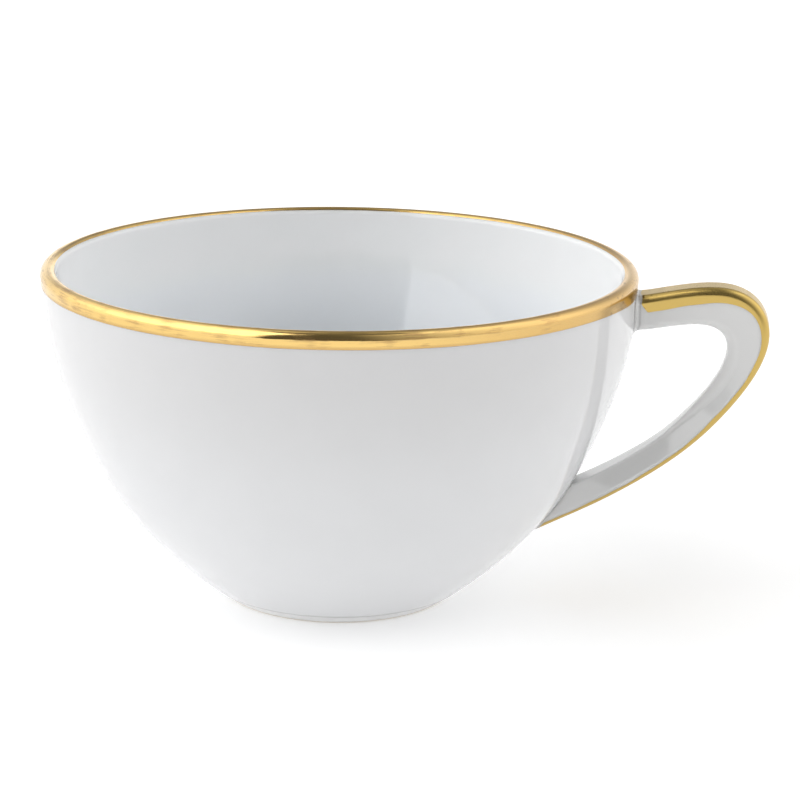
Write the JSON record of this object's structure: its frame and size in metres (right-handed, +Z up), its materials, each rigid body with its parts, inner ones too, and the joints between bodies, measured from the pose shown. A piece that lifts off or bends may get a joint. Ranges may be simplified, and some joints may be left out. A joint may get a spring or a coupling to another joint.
{
  "type": "teacup",
  "caption": "Wide footed porcelain teacup with an ear-shaped handle, a gilded lip and a gilded handle spine, for holding and drinking a hot drink.",
  "frame": {"origin": "centre of the foot's resting plane, on the bowl's axis", "axes": "+Z up along the bowl's axis, +X towards the handle, +Y to the left of the handle"},
  "size_m": [0.1268, 0.104, 0.0594],
  "materials": {
    "glazed_porcelain": "clear glossy glaze over white porcelain",
    "foot_porcelain": "glazed on its outside, bare matt porcelain on its resting face",
    "fired_gold": "bright liquid gold, fired on and burnished, slightly uneven"
  },
  "bodies": {
    "root": {"bowl": "glazed_porcelain", "foot_ring": "foot_porcelain", "handle": "glazed_porcelain", "upper_slip_joint": "glazed_porcelain", "lower_slip_joint": "glazed_porcelain", "rim_gilding": "fired_gold", "handle_gilding": "fired_gold"}
  },
  "joints": []
}
